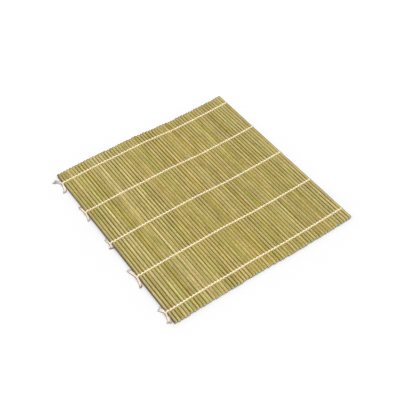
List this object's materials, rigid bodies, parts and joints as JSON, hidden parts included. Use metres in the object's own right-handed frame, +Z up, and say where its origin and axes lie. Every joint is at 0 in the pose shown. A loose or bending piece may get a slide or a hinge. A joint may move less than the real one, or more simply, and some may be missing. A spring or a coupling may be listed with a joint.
{
  "type": "sushi rolling mat",
  "caption": "Square mat of thin round bamboo splints twined side by side with cotton strings, knotted along one edge; it bends between its splints and rolls up.",
  "frame": {"origin": "middle of the flat mat's box, on the surface that it lies on", "axes": "+X across the splints from the knotted edge to the folded edge, +Y along the splints towards their back ends, +Z up"},
  "size_m": [0.2362, 0.242, 0.0045],
  "materials": {
    "bamboo": "dry satin",
    "cotton_string": "matt twisted yarn"
  },
  "bodies": {
    "link_01": {"splints_01_02": "bamboo", "stitches_01_02": "cotton_string"},
    "link_02": {"splints_03_04": "bamboo", "stitches_03_04": "cotton_string"},
    "link_03": {"splints_05_06": "bamboo", "stitches_05_06": "cotton_string"},
    "link_04": {"splints_07_08": "bamboo", "stitches_07_08": "cotton_string"},
    "link_05": {"splints_09_10": "bamboo", "stitches_09_10": "cotton_string"},
    "link_06": {"splints_11_12": "bamboo", "stitches_11_12": "cotton_string"},
    "link_07": {"splints_13_14": "bamboo", "stitches_13_14": "cotton_string"},
    "link_08": {"splints_15_16": "bamboo", "stitches_15_16": "cotton_string"},
    "link_09": {"splints_17_18": "bamboo", "stitches_17_18": "cotton_string"},
    "link_10": {"splints_19_20": "bamboo", "stitches_19_20": "cotton_string"},
    "link_11": {"splints_21_22": "bamboo", "stitches_21_22": "cotton_string"},
    "link_12": {"splints_23_24": "bamboo", "stitches_23_24": "cotton_string"},
    "link_13": {"splints_25_26": "bamboo", "stitches_25_26": "cotton_string"},
    "link_14": {"splints_27_28": "bamboo", "stitches_27_28": "cotton_string"},
    "link_15": {"splints_29_30": "bamboo", "stitches_29_30": "cotton_string"},
    "link_16": {"splints_31_32": "bamboo", "stitches_31_32": "cotton_string"},
    "link_17": {"splints_33_34": "bamboo", "stitches_33_34": "cotton_string"},
    "link_18": {"splints_35_36": "bamboo", "stitches_35_36": "cotton_string"},
    "link_19": {"splints_37_38": "bamboo", "stitches_37_38": "cotton_string"},
    "link_20": {"splints_39_40": "bamboo", "stitches_39_40": "cotton_string"},
    "link_21": {"splints_41_42": "bamboo", "stitches_41_42": "cotton_string"},
    "link_22": {"splints_43_44": "bamboo", "stitches_43_44": "cotton_string"},
    "link_23": {"splints_45_46": "bamboo", "stitches_45_46": "cotton_string"},
    "link_24": {"splints_47_48": "bamboo", "stitches_47_48": "cotton_string"},
    "link_25": {"splints_49_50": "bamboo", "stitches_49_50": "cotton_string"},
    "link_26": {"splints_51_52": "bamboo", "stitches_51_52": "cotton_string"},
    "link_27": {"splints_53_54": "bamboo", "stitches_53_54": "cotton_string"},
    "link_28": {"splints_55_56": "bamboo", "stitches_55_56": "cotton_string"},
    "link_29": {"splints_57_58": "bamboo", "stitches_57_58": "cotton_string"},
    "link_30": {"splints_59_60": "bamboo", "stitches_59_60": "cotton_string"}
  },
  "joints": [
    {"name": "bend_02_03", "type": "hinge", "parent": "link_01", "child": "link_02", "pos_m": [-0.10243, 0, 0.00224], "axis": [0, -1, 0], "range_deg": [-18.1, 18.1]},
    {"name": "bend_04_05", "type": "hinge", "parent": "link_02", "child": "link_03", "pos_m": [-0.09483, 0, 0.00224], "axis": [0, -1, 0], "range_deg": [-18.3, 18.3]},
    {"name": "bend_06_07", "type": "hinge", "parent": "link_03", "child": "link_04", "pos_m": [-0.08723, 0, 0.00224], "axis": [0, -1, 0], "range_deg": [-18.6, 18.6]},
    {"name": "bend_08_09", "type": "hinge", "parent": "link_04", "child": "link_05", "pos_m": [-0.07963, 0, 0.00224], "axis": [0, -1, 0], "range_deg": [-18.8, 18.8]},
    {"name": "bend_10_11", "type": "hinge", "parent": "link_05", "child": "link_06", "pos_m": [-0.07203, 0, 0.00224], "axis": [0, -1, 0], "range_deg": [-19.1, 19.1]},
    {"name": "bend_12_13", "type": "hinge", "parent": "link_06", "child": "link_07", "pos_m": [-0.06443, 0, 0.00224], "axis": [0, -1, 0], "range_deg": [-19.4, 19.4]},
    {"name": "bend_14_15", "type": "hinge", "parent": "link_07", "child": "link_08", "pos_m": [-0.05683, 0, 0.00224], "axis": [0, -1, 0], "range_deg": [-19.7, 19.7]},
    {"name": "bend_16_17", "type": "hinge", "parent": "link_08", "child": "link_09", "pos_m": [-0.04923, 0, 0.00224], "axis": [0, -1, 0], "range_deg": [-20, 20]},
    {"name": "bend_18_19", "type": "hinge", "parent": "link_09", "child": "link_10", "pos_m": [-0.04163, 0, 0.00224], "axis": [0, -1, 0], "range_deg": [-20.3, 20.3]},
    {"name": "bend_20_21", "type": "hinge", "parent": "link_10", "child": "link_11", "pos_m": [-0.03403, 0, 0.00224], "axis": [0, -1, 0], "range_deg": [-20.6, 20.6]},
    {"name": "bend_22_23", "type": "hinge", "parent": "link_11", "child": "link_12", "pos_m": [-0.02643, 0, 0.00224], "axis": [0, -1, 0], "range_deg": [-21, 21]},
    {"name": "bend_24_25", "type": "hinge", "parent": "link_12", "child": "link_13", "pos_m": [-0.01883, 0, 0.00224], "axis": [0, -1, 0], "range_deg": [-21.3, 21.3]},
    {"name": "bend_26_27", "type": "hinge", "parent": "link_13", "child": "link_14", "pos_m": [-0.01123, 0, 0.00224], "axis": [0, -1, 0], "range_deg": [-21.7, 21.7]},
    {"name": "bend_28_29", "type": "hinge", "parent": "link_14", "child": "link_15", "pos_m": [-0.00363, 0, 0.00224], "axis": [0, -1, 0], "range_deg": [-22.1, 22.1]},
    {"name": "bend_30_31", "type": "hinge", "parent": "link_15", "child": "link_16", "pos_m": [0.00397, 0, 0.00224], "axis": [0, -1, 0], "range_deg": [-22.6, 22.6]},
    {"name": "bend_32_33", "type": "hinge", "parent": "link_16", "child": "link_17", "pos_m": [0.01157, 0, 0.00224], "axis": [0, -1, 0], "range_deg": [-23, 23]},
    {"name": "bend_34_35", "type": "hinge", "parent": "link_17", "child": "link_18", "pos_m": [0.01917, 0, 0.00224], "axis": [0, -1, 0], "range_deg": [-23.5, 23.5]},
    {"name": "bend_36_37", "type": "hinge", "parent": "link_18", "child": "link_19", "pos_m": [0.02677, 0, 0.00224], "axis": [0, -1, 0], "range_deg": [-24, 24]},
    {"name": "bend_38_39", "type": "hinge", "parent": "link_19", "child": "link_20", "pos_m": [0.03437, 0, 0.00224], "axis": [0, -1, 0], "range_deg": [-24.6, 24.6]},
    {"name": "bend_40_41", "type": "hinge", "parent": "link_20", "child": "link_21", "pos_m": [0.04197, 0, 0.00224], "axis": [0, -1, 0], "range_deg": [-25.2, 25.2]},
    {"name": "bend_42_43", "type": "hinge", "parent": "link_21", "child": "link_22", "pos_m": [0.04957, 0, 0.00224], "axis": [0, -1, 0], "range_deg": [-25.9, 25.9]},
    {"name": "bend_44_45", "type": "hinge", "parent": "link_22", "child": "link_23", "pos_m": [0.05717, 0, 0.00224], "axis": [0, -1, 0], "range_deg": [-26.6, 26.6]},
    {"name": "bend_46_47", "type": "hinge", "parent": "link_23", "child": "link_24", "pos_m": [0.06477, 0, 0.00224], "axis": [0, -1, 0], "range_deg": [-27.3, 27.3]},
    {"name": "bend_48_49", "type": "hinge", "parent": "link_24", "child": "link_25", "pos_m": [0.07237, 0, 0.00224], "axis": [0, -1, 0], "range_deg": [-28.2, 28.2]},
    {"name": "bend_50_51", "type": "hinge", "parent": "link_25", "child": "link_26", "pos_m": [0.07997, 0, 0.00224], "axis": [0, -1, 0], "range_deg": [-29.1, 29.1]},
    {"name": "bend_52_53", "type": "hinge", "parent": "link_26", "child": "link_27", "pos_m": [0.08757, 0, 0.00224], "axis": [0, -1, 0], "range_deg": [-30.1, 30.1]},
    {"name": "bend_54_55", "type": "hinge", "parent": "link_27", "child": "link_28", "pos_m": [0.09517, 0, 0.00224], "axis": [0, -1, 0], "range_deg": [-31.2, 31.2]},
    {"name": "bend_56_57", "type": "hinge", "parent": "link_28", "child": "link_29", "pos_m": [0.10277, 0, 0.00224], "axis": [0, -1, 0], "range_deg": [-32.5, 32.5]},
    {"name": "bend_58_59", "type": "hinge", "parent": "link_29", "child": "link_30", "pos_m": [0.11037, 0, 0.00224], "axis": [0, -1, 0], "range_deg": [-34, 34]}
  ]
}
